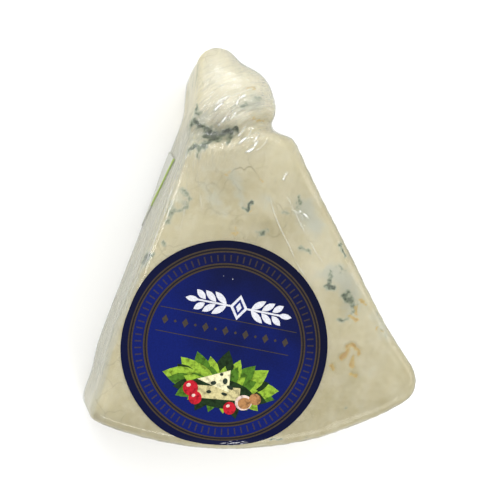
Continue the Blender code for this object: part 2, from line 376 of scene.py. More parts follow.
studio = {
    "worldLight": 0.92,
    "floorSize": 3.0,
    "floorColour": (250, 250, 250),
    # Place, width, height and watts of each lamp, which looks at the origin
    "lamps": {
        "overhead": ((0.05, 0.30, 0.90), 0.90, 0.90, 2.4),
        "softbox": ((-0.10, 0.60, 0.75), 0.50, 0.50, 1.6),
        "fill": ((0.25, -0.68, 0.52), 0.50, 0.50, 1.7),
        "rightFill": ((0.82, 0.05, 0.36), 0.50, 0.50, 1.6),
    },
    # Strips that show only as highlights on the film
    "strips": {
        "leftStrip": ((-0.42, 0.42, 0.62), 0.50, 0.16, 2.2),
        "farStrip": ((0.08, 0.62, 0.60), 0.40, 0.12, 2.8),
        "nearStrip": ((-0.24, -0.60, 0.55), 0.50, 0.12, 1.2),
    },
}


def addLamp(name, place, width, height, watts):
    bpy.ops.object.light_add(type="AREA", location=place)
    lamp = bpy.context.active_object
    lamp.name = name
    lamp.data.shape = "RECTANGLE"
    lamp.data.size = width
    lamp.data.size_y = height
    lamp.data.energy = watts
    lamp.rotation_mode = "QUATERNION"
    lamp.rotation_quaternion = (-Vector(place)).to_track_quat("-Z", "Y")
    return lamp


def addStudio():
    world = bpy.data.worlds.new("studio")
    bpy.context.scene.world = world
    world.use_nodes = True
    background = world.node_tree.nodes["Background"]
    background.inputs["Color"].default_value = (1.0, 1.0, 1.0, 1.0)
    background.inputs["Strength"].default_value = studio["worldLight"]
    for name, settings in studio["lamps"].items():
        addLamp(name, *settings)
    for name, settings in studio["strips"].items():
        addLamp(name, *settings).visible_diffuse = False
    bpy.ops.mesh.primitive_plane_add(size=studio["floorSize"], location=(0.0, 0.0, -0.2 * mm))
    floor = bpy.context.active_object
    floor.name = "floor"
    material, tree, surface = newMaterial("paleFloor")
    plain = addNode(tree, "BsdfPrincipled", {"Base Color": paint(*studio["floorColour"]), "Roughness": 0.9})
    tree.links.new(plain.outputs[0], surface)
    floor.data.materials.append(material)
    bpy.context.scene.view_settings.view_transform = "Standard"
    print("studio set")


# The CAD wedge as an even fine skin, finer on the front, flat where it rests
wedgeSkin = {
    "frontEasing": 2,
    # More smoothing on the point, whose solid is faceted, from the first bound to the second
    "noseEasing": 80,
    "noseAlong": (29 * mm, 35 * mm),
    "noseHeight": (20 * mm, 30 * mm),
    "restingHeight": 0.4 * mm,
}


def refineFront(piece):
    faces = piece.data.polygons
    facingUp = readVectors(faces, "normal")[:, 2] > 0.2
    front = facingUp & (readVectors(faces, "center")[:, 2] > frontStart)
    makeActive(piece)
    piece.data.vertices.foreach_set("select", np.zeros(len(piece.data.vertices), bool))
    piece.data.edges.foreach_set("select", np.zeros(len(piece.data.edges), bool))
    piece.data.polygons.foreach_set("select", front)
    bpy.ops.object.mode_set(mode="EDIT")
    bpy.ops.mesh.select_mode(type="FACE")
    bpy.ops.mesh.subdivide(number_cuts=1)
    bpy.ops.object.mode_set(mode="OBJECT")
    smoothPiece(piece, wedgeSkin["frontEasing"])


def wedgeForm(name, grain, easing):
    piece = copyOfNode("wrapped_wedge", name)
    applyModifier(piece, "REMESH", mode="VOXEL", voxel_size=grain, use_smooth_shade=True)
    smoothPiece(piece, easing)
    refineFront(piece)
    points = readPoints(piece)
    nose = fade(points[:, 1], *wedgeSkin["noseAlong"]) * fade(points[:, 2], *wedgeSkin["noseHeight"])
    group = piece.vertex_groups.new(name="nose")
    for i in np.flatnonzero(nose > 0.01):
        group.add([int(i)], float(nose[i]), "REPLACE")
    smoothPiece(piece, wedgeSkin["noseEasing"], vertex_group="nose")
    points, normals = readPoints(piece), readNormals(piece)
    resting = (points[:, 2] < wedgeSkin["restingHeight"]) & (normals[:, 2] < -0.7)
    points[resting, 2] = 0.0
    points[:, 2] = np.maximum(points[:, 2], 0.0)
    writePoints(piece, points)
    return piece


# Strokes and spots are a path in millimetres on the front face, its half width and its strength
cheese = {
    "grain": 0.7 * mm,
    "easing": 5,
    "underFilm": 0.26 * mm,
    "leastGap": 0.08 * mm,
    "wanderSize": 2.2 * mm,  # coarse and fine raggedness of the marks' edges
    "flutterSize": 0.9 * mm,
    "crumbSize": 2.1 * mm,
    "crumbDepth": 0.12 * mm,
    "lumpSize": 8.5 * mm,
    "lumpDepth": 0.28 * mm,
    "crackDepth": 0.5 * mm,
    "crackReach": 0.7,
    "brokenDepth": 0.3 * mm,
    "brokenSize": 1.4 * mm,
    "brokenReach": 3.6,
    "pitDepth": 0.7 * mm,
    # Scales of the noises in the colour
    "broadScale": 60.0,
    "lumpScale": 170.0,
    "crumbScale": 620.0,
    "fineScale": 2100.0,
    "curdScale": 150.0,
    "veinScale": 110.0,
    "hairline": 0.20,
    "cream": (220, 212, 174),
    "shade": (200, 190, 147),
    # painted shade of the left cut face, with the film's milky tone
    "shadedGrey": (186, 186, 170),
    "ivory": (244, 240, 220),
    "curdLine": (158, 147, 98),
    "mould": (137, 153, 122),
    "mouldCore": (50, 68, 42),
    "mouldBlue": (203, 206, 190),
    "ochre": (216, 188, 104),
    "ochreCore": (186, 142, 60),
    "crack": [(-13.5, 26.5), (-11.5, 27.5), (-9, 28), (-6.5, 27.5), (-4, 27.5), (-0.5, 28.5), (2, 30)],
    "mouldMarks": [
        ([(-8.5, 28), (-6.5, 27.5), (-4, 27.5), (-1.5, 28.5)], 0.75, 1.2),
        ([(-9, 28.5), (-5, 28.5), (-2, 29.5)], 0.9, 0.45),
        ([(-14.5, 27.5), (-13.5, 29.5), (-12, 31), (-10.5, 30)], 0.85, 1.15),
        ([(-11.5, 30.5), (-10.5, 29.5), (-9.5, 29.5), (-8, 28.5)], 0.7, 1.15),
        ([(-11, 24), (-7.5, 26.5), (-4.5, 27.5)], 0.85, 1.1),
        ([(-13.5, 23.5), (-12, 25), (-9.5, 24.5)], 0.6, 0.9),
        ([(-12, 23.5), (-11, 22)], 0.45, 0.7),
        ([(-4, 25.5), (-3, 26.5), (-2, 28.5)], 0.6, 0.9),
        ([(-11.5, 35.5), (-11, 34)], 0.6, 0.95),
        ([(-13, 31.5), (-12, 34), (-10.5, 33)], 0.6, 0.85),
        ([(-0.5, 34), (1, 34.5)], 0.7, 0.75),
        ([(3.5, 36.5), (5, 35)], 0.7, 0.65),
        ([(-0.5, 9), (1, 10.5)], 0.5, 1.15),
        ([(1, 10.5), (1.5, 9.5)], 0.35, 0.9),
        ([(-15.5, 14), (-14.5, 12.5)], 1.0, 0.75),
        ([(-15, 11), (-16, 9.5), (-17, 9)], 0.8, 0.7),
        ([(-18.5, 10.5), (-18.5, 9), (-19.5, 7)], 1.0, 0.7),
        ([(-20.5, 1.5)], 0.5, 0.9),
        ([(-25, -1.5), (-26.5, -3)], 0.75, 1.1),
        ([(2.5, 2.5), (3.5, 3)], 0.7, 0.75),
        ([(12.5, 11), (13, 9)], 0.6, 0.8),
        ([(8.5, 7.5), (9.5, 7.5)], 0.5, 0.7),
        ([(12.5, -1.5), (13.5, -2), (15, -2)], 0.45, 0.85),
        ([(22.5, -0.5), (23.5, -2.5), (24.5, -3.5)], 0.6, 1.05),
        ([(21.5, -6.5), (23, -7.5)], 0.4, 0.8),
        ([(20, -7.5), (19.5, -9.5), (19, -11)], 0.5, 0.85),
        ([(19, -11), (20, -11.5)], 0.8, 1.1),
        ([(23, -13.5), (23.5, -14.5)], 0.65, 1.1),
        ([(24.5, -13), (25, -15.5), (25.5, -17.5)], 0.9, 0.9),
        ([(25.5, -17.5), (23.5, -19), (21.5, -19.5)], 0.6, 0.8),
        ([(31.5, -18.5), (32.5, -20.5)], 0.4, 0.6),
        ([(32.5, -22.5), (33, -24.5)], 0.4, 0.6),
        # Dark marks at the lower edge: partly mould specks, partly painted shade of the edge
        ([(3.5, -48), (6, -48)], 0.35, 0.95),
        ([(11.5, -48)], 0.5, 0.8),
        ([(22, -41)], 0.4, 0.8),
    ],
    # Paler places, partly the cheese's own tone and partly painted light, and places darkened by painted
    # shade
    "paleAndLitMarks": [
        ([(18, 1), (19, -4)], 5.5, 0.35),
        ([(-14, 22), (-14, 18)], 4.0, 0.25),
        ([(0, 23), (9, 21)], 5.0, 0.22),
        ([(26, -10), (32, -24)], 4.0, 0.2),
        # Painted light on the roll's lower side, above the crack
        ([(-8, 31.5), (-4, 32), (0, 31)], 2.6, 1.0),
        ([(12, 12), (15, 4)], 4.0, 0.3),
    ],
    # Painted shade: darker and yellower in the middle, along the lower part and at the right
    "paintedShadeMarks": [
        ([(-3, 14), (1, 2)], 9.0, 1.0),
        ([(-24, -42), (0, -46), (28, -40)], 9.0, 0.8),
        ([(25, -14), (23, -30), (30, -36)], 6.0, 0.6),
        ([(6.5, 36), (6.5, 31)], 2.5, 0.6),
    ],
    "blueMarks": [
        ([(-12, 26.5), (-8, 27), (-3, 27.5)], 1.7, 0.6),
        ([(-12, 33), (-10, 31.5)], 1.8, 0.5),
        ([(-1.5, 34), (1, 34.5), (5, 35)], 2.2, 0.5),
        ([(-4, 17), (-2.5, 15.5), (-1.5, 12.5), (-1, 10.5)], 1.4, 0.6),
        ([(-11, 15), (-9.5, 14)], 1.6, 0.35),
        ([(-7.5, 14), (-7, 9)], 2.8, 0.35),
        ([(4.5, 12), (5, 11)], 1.6, 0.4),
        ([(-15, 12.5), (-19, 8)], 2.0, 0.5),
        ([(14, 8), (16, 5.5), (17.5, 3.5)], 2.2, 0.75),
        ([(21, -8), (24, -12), (25, -16)], 2.8, 0.7),
        ([(31, -17), (32, -20.5), (33.5, -24)], 1.6, 0.45),
    ],
    "ochreMarks": [
        ([(2, 31.5), (4, 30.5), (6, 30)], 0.3, 0.62),
        ([(1.5, 39), (3, 39)], 0.4, 0.6),
        ([(-4, 18), (-5, 17.5)], 0.7, 0.6),
        ([(3.5, 16.5), (4, 15.5)], 0.35, 0.8),
        ([(-4, 3), (-3, 4)], 0.8, 0.6),
        ([(0, 8.5), (1.5, 9)], 0.3, 0.65),
        ([(27, -15), (28, -15.5)], 0.6, 1.0),
        ([(25.5, -16.5), (26.5, -18)], 0.5, 0.95),
        ([(24.5, -18.5), (26, -19.5)], 0.55, 1.05),
        ([(31, -22.5), (32.5, -23)], 0.8, 0.5),
    ],
    "pitMarks": [
        ([(21.5, -29), (23, -27.5), (23.5, -26)], 0.5, 1.1),
        ([(23.5, -26), (25, -26), (26, -28)], 0.45, 1.05),
        ([(24.5, -29), (24, -31)], 0.5, 1.0),
        ([(19, -30.5), (19.5, -31.5)], 0.45, 0.95),
        ([(23.5, -33), (25, -33.5)], 0.45, 0.85),
    ],
    # Hairlines between the pressed curds: path and strength
    "curdLines": [
        ([(-4.5, 17.5), (-3, 18), (-1.5, 19), (0, 18.5), (1.5, 19), (2.5, 17), (4, 15.5)], 0.9),
        ([(-3.5, 16.5), (-2.5, 14.5), (-1.5, 12.5), (-0.5, 10)], 0.8),
        ([(-13.5, 17), (-10, 14.5), (-9, 10.5), (-11.5, 6.5)], 0.5),
        ([(-11, 11), (-8, 8.5), (-5.5, 8), (-3, 9)], 0.5),
        ([(6, 10), (8, 9), (9, 4.5), (6, 1.5), (3, 3)], 0.5),
    ],
}


def cheeseMaterial():
    material, tree, surface = newMaterial("blueCheese")
    place = objectPlace(tree)
    broad = cloud(tree, place, cheese["broadScale"], 2.0)
    lumps = cloud(tree, place, cheese["lumpScale"], 3.0, 0.5)
    crumb = cloud(tree, place, cheese["crumbScale"], 4.0, 0.6)
    fine = cloud(tree, place, cheese["fineScale"], 3.0, 0.6)
    rind = field(tree, "rind")

    patches = steps(tree, broad, 0.38, 0.64, 0.15, 0.80)
    cream = layOver(tree, patches, paint(*cheese["cream"]), cheese["shade"])
    # Painted shade where less light falls: darker and yellower in the middle and along the lower part
    cream = layOver(tree, field(tree, "paintedShade"), cream, cheese["shade"])
    # Paler places, partly the cheese's own tone and partly painted light
    cream = layOver(tree, field(tree, "paleAndLit"), cream, cheese["ivory"])
    # The point paler: its own ivory and painted light from above, less on its left side
    cream = layOver(tree, field(tree, "paleLitTip"), cream, cheese["ivory"])
    cream = layOver(tree, steps(tree, lumps, 0.42, 0.66, 0.0, 0.26), cream, cheese["ivory"])
    # The left cut face below the point greyed: painted shade of the side turned from the light, with the
    # film's milky tone
    cream = layOver(tree, product(tree, field(tree, "left"), 0.7), cream, cheese["shadedGrey"])
    cream = layOver(tree, steps(tree, crumb, 0.35, 0.75, 0.0, 0.20), cream, cheese["ivory"])
    cream = layOver(tree, steps(tree, fine, 0.75, 0.35, 0.0, 0.16), cream, cheese["shade"])

    # Pressed curds: a few of their outlines show as olive hairlines
    drift = addNode(tree, "TexNoise", {"Vector": place, "Scale": 180.0, "Detail": 2.0}).outputs["Color"]
    drift = addNode(tree, "VectorMath", {0: drift, 1: (-0.5, -0.5, -0.5)}, operation="ADD").outputs[0]
    drift = addNode(tree, "VectorMath", {0: drift, 3: 0.006}, operation="SCALE").outputs[0]
    drifted = addNode(tree, "VectorMath", {0: place, 1: drift}, operation="ADD").outputs[0]
    inputs = {"Vector": drifted, "Scale": cheese["curdScale"]}
    cells = addNode(tree, "TexVoronoi", inputs, feature="DISTANCE_TO_EDGE")
    outline = steps(tree, cells.outputs["Distance"], 0.03, 0.0)
    shown = steps(tree, cloud(tree, place, cheese["curdScale"] / 2, 2.0), 0.50, 0.62)
    outline = product(tree, outline, shown, sums(tree, "SUBTRACT", 1.0, rind))
    hairline = product(tree, thinLine(tree, "curd", cheese["hairline"]), steps(tree, lumps, 0.36, 0.52))
    groove = sums(tree, "MAXIMUM", product(tree, outline, 0.45), hairline)
    cream = layOver(tree, product(tree, groove, 0.75), cream, cheese["curdLine"])

    # Marbling on the cut sides and the back, which have no placed marks
    bands = cloud(tree, place, cheese["veinScale"], 5.0, 0.62, 0.6)
    vein = steps(tree, sums(tree, "ABSOLUTE", sums(tree, "SUBTRACT", bands, 0.5)), 0.045, 0.0)
    away = sums(tree, "SUBTRACT", 1.0, sums(tree, "MAXIMUM", field(tree, "front"), rind))
    vein = product(tree, vein, steps(tree, broad, 0.48, 0.62), away)

    # The placed marks, broken up by the same noises as the crumbs
    ragged = total(tree, field(tree, "mould"), around(tree, crumb, 1.9), around(tree, fine, 1.1))
    deep = steps(tree, field(tree, "mould"), 0.10, 1.0, 0.15, 1.0)
    spots = product(tree, steps(tree, ragged, 0.32, 0.78), deep)
    mould = sums(tree, "MAXIMUM", spots, product(tree, vein, 0.7))
    core = product(tree, steps(tree, ragged, 0.66, 1.20), deep)
    halo = product(tree, steps(tree, field(tree, "mould"), 0.02, 0.8), 0.55)
    bloom = total(tree, field(tree, "blue"), around(tree, lumps, 1.3), around(tree, crumb, 0.6))
    bloom = sums(tree, "MAXIMUM", product(tree, steps(tree, bloom, 0.10, 0.80), 0.72), halo)
    golden = total(tree, field(tree, "ochre"), around(tree, crumb, 1.1), around(tree, fine, 0.8))

    colour = layOver(tree, bloom, cream, cheese["mouldBlue"])
    colour = layOver(tree, product(tree, mould, 0.85), colour, cheese["mould"])
    colour = layOver(tree, product(tree, core, 0.92), colour, cheese["mouldCore"])
    colour = layOver(tree, steps(tree, golden, 0.38, 0.62, 0.0, 0.75), colour, cheese["ochre"])
    colour = layOver(tree, steps(tree, golden, 0.78, 1.05, 0.0, 0.75), colour, cheese["ochreCore"])

    height = total(tree, product(tree, crumb, 0.6), product(tree, fine, 0.3), product(tree, groove, -0.5))
    bump = addNode(tree, "Bump", {"Strength": 0.4, "Distance": 0.25 * mm, "Height": height})
    body = addNode(
        tree,
        "BsdfPrincipled",
        {
            "Base Color": colour,
            "Roughness": 0.55,
            "Subsurface Weight": 0.14,
            "Subsurface Radius": (1.0, 0.75, 0.45),
            "Subsurface Scale": 1.6 * mm,
            "Normal": bump.outputs[0],
        },
    )
    tree.links.new(body.outputs[0], surface)
    return material


def buildCheese(piece):
    points, normals = readPoints(piece), readNormals(piece)
    front = onFront(points, normals)
    flat = points[:, :2] / mm
    wander = np.stack([noiseAt(points, cheese["wanderSize"], s) for s in (1.0, 2.0)], axis=1)
    flutter = np.stack([noiseAt(points, cheese["flutterSize"], s) for s in (3.0, 4.0)], axis=1)
    ragged = flat + wander + flutter * 0.6
    toCrack = measureTo(flat + wander * 0.5, cheese["crack"])[0]
    inCrack = np.exp(-((toCrack / cheese["crackReach"]) ** 2)) * front
    broken = np.exp(-((toCrack / cheese["brokenReach"]) ** 2)) * front
    broken *= fade(flat[:, 0], 4.0, -1.0)
    pits = strokesOn(flat + wander * 0.3 + flutter * 0.4, cheese["pitMarks"]) * front
    ochre = strokesOn(ragged, cheese["ochreMarks"]) * front

    depth = cheese["underFilm"] + cheese["crackDepth"] * inCrack + cheese["pitDepth"] * pits
    depth += cheese["brokenDepth"] * broken * np.abs(noiseAt(points, cheese["brokenSize"], 8.0))
    depth -= cheese["crumbDepth"] * noiseAt(points, cheese["crumbSize"], 3.0)
    lumps = noiseAt(points, cheese["lumpSize"], 4.0) * fade(points[:, 2], 0.0, 4 * mm)
    depth -= cheese["lumpDepth"] * lumps
    points = points - normals * np.maximum(depth, cheese["leastGap"])[:, None]
    points[:, 2] = np.maximum(points[:, 2], cheese["leastGap"])
    writePoints(piece, points)

    writeField(piece, "mould", strokesOn(ragged, cheese["mouldMarks"]) * front)
    writeField(piece, "blue", strokesOn(flat + wander, cheese["blueMarks"]) * front)
    writeField(piece, "paleAndLit", strokesOn(flat + wander, cheese["paleAndLitMarks"]) * front)
    writeField(piece, "ochre", np.maximum(ochre, pits))
    writeField(piece, "front", front)
    writeField(piece, "rind", fade(-normals[:, 1], 0.55, 0.85))
    # Painted shade, darker in the middle, along the lower part and at the right
    writeField(piece, "paintedShade", strokesOn(flat + wander * 2.0, cheese["paintedShadeMarks"]) * front)
    left = onLeft(normals)
    # The point paler: its own ivory and painted light from above, less on its left side
    writeField(piece, "paleLitTip", fade(flat[:, 1], 22.0, 38.0) * (0.85 - 0.6 * left))
    # Where the left cut face gets its painted shade
    writeField(piece, "left", left * fade(flat[:, 1], 37.0, 27.0))
    writeThinLines(piece, "curd", flat + wander * 0.9 + flutter * 0.3, cheese["curdLines"], front)
    finishPiece(piece, cheeseMaterial(), "wrapped_wedge")


film = {
    "grain": 0.8 * mm,
    "easing": 5,
    "tension": 22,  # smoothing steps: how far the film spans hollows
    "mostSpan": 0.9 * mm,
    "haze": 0.03,
    "leftHaze": 0.26,
    "edgeHaze": 0.14,
    "sideHaze": 0.05,
    "colour": (208, 209, 199),
    # white of the painted highlights on the folds and of the pale creases
    "glintAndCreaseWhite": (252, 252, 248),
    "roughness": 0.09,
    "leftShine": 0.35,  # the left side mirrors less, as the photo shows no lamp there
    "wrinkleWidth": 0.17,
    "foldWidth": 0.31,
    "pleatSize": 2.6 * mm,
    "pleatHeight": 0.10 * mm,
    "twist": (5.7 * mm, 18.6 * mm, 0.0),  # the gathers run round this place
    "twistRadius": 20 * mm,
    # Long tight wrinkles on the front face: path in millimetres and strength
    "wrinkles": [
        ([(5, 18), (6, 9.5), (7.5, 4.5), (10, -1), (12, -6), (16, -12)], 0.9),
        ([(9, 13), (11, 9), (14, 2.5), (17, -3.5), (19.5, -7)], 0.8),
        ([(-12, 27), (-12, 21), (-11.5, 14), (-11, 6)], 0.5),
        ([(-16, 20.5), (-18.5, 13.5), (-21, 7), (-24.5, -1), (-27, -6.5)], 0.7),
        ([(-14, 21.5), (-15, 11.5), (-17, 3.5)], 0.45),
        ([(7.5, 17), (6.8, 14), (6.5, 12)], 0.6),
        ([(10, 8.5), (13, 7), (14, 5)], 0.7),
        ([(-11, 37.5), (-7.5, 39), (-3, 39.5), (1, 39.5)], 0.5),
        ([(-10.5, 42), (-7, 43), (-3, 43), (0, 42)], 0.35),
        ([(-7.5, 34), (-3.5, 36), (0, 37.5), (4, 38.5)], 1.0),
        ([(0.5, 25.5), (2, 28), (2.5, 30)], 0.8),
        ([(2, 22.5), (4.5, 24), (6.5, 26.5)], 0.8),
    ],
    # Short folds over the crack that catch the light, with painted white highlights along them
    "folds": [
        ([(-7, 34.5), (-5.5, 35.5), (-2.5, 37)], 1.0),
        ([(-7, 33), (-6, 34), (-4.5, 35)], 1.0),
        ([(-1.5, 34), (-1, 35.5), (1.5, 37)], 1.0),
        ([(-6, 29.5), (-5, 30.5), (-3.5, 32.5)], 1.0),
        ([(-3, 30.5), (-2.5, 31.5), (-1.5, 33)], 0.8),
        ([(-1.5, 26.5), (-0.5, 27.5), (1, 29.5)], 1.0),
        ([(-1.5, 24.5), (-0.5, 25.5), (1, 26.5)], 1.0),
        ([(2, 25), (3, 26), (4, 27.5)], 1.0),
        ([(0, 22.5), (2, 23.5), (3.5, 25.5)], 1.0),
        ([(9, 15), (9.5, 16.5), (10.5, 17.5)], 0.8),
        ([(12.5, 8), (14, 7), (15.5, 5.5)], 0.8),
    ],
}


# Coordinates that follow circles round the film's twist, in steps across and along them
def swirlPlace(tree, across, along):
    x, y, z = addNode(tree, "SeparateXYZ", {0: objectPlace(tree, centre=film["twist"])}).outputs
    radius = sums(tree, "SQRT", total(tree, product(tree, x, x), product(tree, y, y)))
    turned = product(tree, sums(tree, "ARCTAN2", y, x), film["twistRadius"] / along)
    parts = {"X": product(tree, radius, 1 / across), "Y": turned, "Z": product(tree, z, 0.4 / across)}
    return addNode(tree, "CombineXYZ", parts).outputs[0]


def filmMaterial():
    material, tree, surface = newMaterial("shrinkFilm")
    place = objectPlace(tree)
    gather = cloud(tree, swirlPlace(tree, 0.9 * mm, 4.5 * mm), 1.0, 3.0, 0.55, 0.3)
    streak = cloud(tree, swirlPlace(tree, 0.35 * mm, 5.0 * mm), 1.0, 2.0)
    ripple = cloud(tree, place, 330.0, 3.0, 0.5)
    alongLeft = objectPlace(tree, (0.8 * mm, 9 * mm, 0.8 * mm), -halfAngle)
    leftPull = cloud(tree, alongLeft, 1.0, 3.0, 0.5)
    upPull = cloud(tree, objectPlace(tree, (1.6 * mm, 1.6 * mm, 11 * mm)), 1.0, 3.0, 0.5)
    wrinkle = thinLine(tree, "wrinkle", film["wrinkleWidth"])
    fold = thinLine(tree, "fold", film["foldWidth"])

    # Heights are in tenths of a millimetre
    height = total(
        tree,
        product(tree, gather, field(tree, "gathered"), 5.0),
        product(tree, streak, field(tree, "gathered"), 0.5),
        product(tree, ripple, 0.8),
        product(tree, leftPull, field(tree, "leftBand"), 1.2),
        product(tree, upPull, field(tree, "sides"), 1.3),
        product(tree, wrinkle, 0.8),
        product(tree, fold, steps(tree, ripple, 0.35, 0.60, 0.8, 2.0)),
    )
    bump = addNode(tree, "Bump", {"Strength": 1.0, "Distance": 0.1 * mm, "Height": height}).outputs[0]
    clear = addNode(tree, "BsdfTransparent")
    gloss = addNode(tree, "BsdfGlossy", {"Roughness": film["roughness"], "Normal": bump})
    # White along the folds is painted highlight; along the wrinkles it is the film's pale creases
    glintsAndCreases = sums(tree, "MAXIMUM", fold, wrinkle)
    colour = layOver(tree, glintsAndCreases, paint(*film["colour"]), film["glintAndCreaseWhite"])
    haze = addNode(tree, "BsdfDiffuse", {"Color": colour, "Normal": bump})
    shine = addNode(tree, "Fresnel", {"IOR": 1.5, "Normal": bump}).outputs[0]
    shine = product(tree, shine, steps(tree, field(tree, "leftSide"), 0.0, 1.0, 1.0, film["leftShine"]))
    skin = addNode(tree, "MixShader", {0: shine, 1: clear.outputs[0], 2: gloss.outputs[0]})
    streaky = product(tree, field(tree, "haze"), steps(tree, leftPull, 0.30, 0.70, 0.45, 1.55))
    faint = product(tree, field(tree, "gathered"), steps(tree, streak, 0.45, 0.75), 0.26)
    # Painted highlights along the folds, broken up by the gathers
    bright = product(tree, fold, steps(tree, gather, 0.40, 0.60, 0.0, 0.95))
    drawn = product(tree, wrinkle, steps(tree, ripple, 0.3, 0.7), 0.38)
    milk = total(tree, streaky, faint, bright, drawn)
    whole = addNode(tree, "MixShader", {0: milk, 1: skin.outputs[0], 2: haze.outputs[0]})
    tree.links.new(whole.outputs[0], surface)
    return material


def buildFilm(piece):
    points, normals = readPoints(piece), readNormals(piece)
    tight = copyOfPiece(piece, "tightFilm")
    smoothPiece(tight, film["tension"])
    spanned = readPoints(tight) - points
    dropPiece(tight)
    rise = np.clip((spanned * normals).sum(axis=1), 0.0, film["mostSpan"])
    front = onFront(points, normals)
    flat = points[:, :2] / mm
    left = onLeft(normals)
    right = fade(normals @ np.array(rightOutward), 0.15, 0.70)
    sides = 1.0 - fade(np.abs(normals[:, 2]), 0.3, 0.7)
    leftBand = left * fade(flat[:, 1], 35.0, 24.0) * fade(flat[:, 1], -38.0, -26.0)
    tipRight = right * fade(flat[:, 1], 12.0, 36.0) * fade(points[:, 2], 0.0, 30 * mm)
    pleat = np.abs(noiseAt(points * np.array((1.0, 1.0, 0.22)), film["pleatSize"], 7.0))
    raised = film["pleatHeight"] * sides * (1.0 - left) * (1.0 - np.clip(pleat * 3.0, 0.0, 1.0))
    points = points + normals * (rise + raised)[:, None]
    points[:, 2] = np.maximum(points[:, 2], 0.0)
    writePoints(piece, points)
    haze = film["haze"] + film["leftHaze"] * leftBand
    haze += film["edgeHaze"] * tipRight + film["sideHaze"] * sides
    gathered = fade(flat[:, 1] - 0.3 * flat[:, 0], 19.0, 27.0) * fade(flat[:, 1], 50.0, 38.0)
    writeField(piece, "haze", haze)
    writeField(piece, "gathered", gathered * front)
    writeField(piece, "leftBand", leftBand)
    writeField(piece, "leftSide", left)
    writeField(piece, "sides", sides * (1.0 - left))
    writeThinLines(piece, "wrinkle", flat, film["wrinkles"], front)
    writeThinLines(piece, "fold", flat, film["folds"], front)
    finishPiece(piece, filmMaterial(), "wrapped_wedge")


# The round front label. Its print is laid out in millimetres from its centre, along its own slant
labelLow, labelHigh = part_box("front_label")
labelRadius = (labelHigh.x - labelLow.x) / 2
label = {
    "radius": labelRadius * 1.014,
    "centre": ((labelLow.x + labelHigh.x) / 2 + 0.25 * mm, labelHigh.y - labelRadius - 0.15 * mm),
    "spokes": 144,
    "aboveWedge": 0.14 * mm,
    "paper": 0.12 * mm,
    "roughness": 0.40,
    "slant": math.radians(-14.2),
    "navy": (6, 9, 34),
    "blue": (11, 25, 92),
    # the blue's painted shade
    "shadedBlue": (11, 17, 55),
    "gold": (60, 51, 41),
    "goldShade": (22, 21, 33),
    "white": (205, 206, 212),
    # Shares of the radius: the mesh's rings and the printed ones
    "rings": (0.985, 0.94, 0.88, 0.81, 0.74, 0.66, 0.58, 0.50, 0.42, 0.34, 0.26, 0.18, 0.10),
    "doubleRings": ((0.738, 0.781), (0.883, 0.928)),
    "ringLine": 0.015,
    "tickBand": (0.797, 0.861),
    "ticks": 83,
    "crease": (-6.2 * mm, -48.2 * mm, 0.0),  # where painted highlights of the film's puckers lie over the label's edge
}


# Paper with a slight sheen, under film that lets little of its own shine show
def printedSurface(tree, colour, surface, roughness):
    place = objectPlace(tree)
    fibre = cloud(tree, place, 2600.0, 3.0, 0.6)
    crease = cloud(tree, place, 160.0, 3.0, 0.5)
    height = total(tree, product(tree, fibre, 0.35), crease)
    bump = addNode(tree, "Bump", {"Strength": 0.25, "Distance": 0.2 * mm, "Height": height})
    grain = steps(tree, fibre, 0.25, 0.75, 0.84, 1.16)
    shaded = addNode(tree, "VectorMath", {0: colour, 3: grain}, operation="SCALE")
    body = addNode(
        tree,
        "BsdfPrincipled",
        {
            "Base Color": shaded.outputs[0],
            "Roughness": steps(tree, crease, 0.2, 0.8, roughness - 0.06, roughness + 0.10),
            "Specular IOR Level": 0.05,
            "Normal": bump.outputs[0],
        },
    )
    tree.links.new(body.outputs[0], surface)


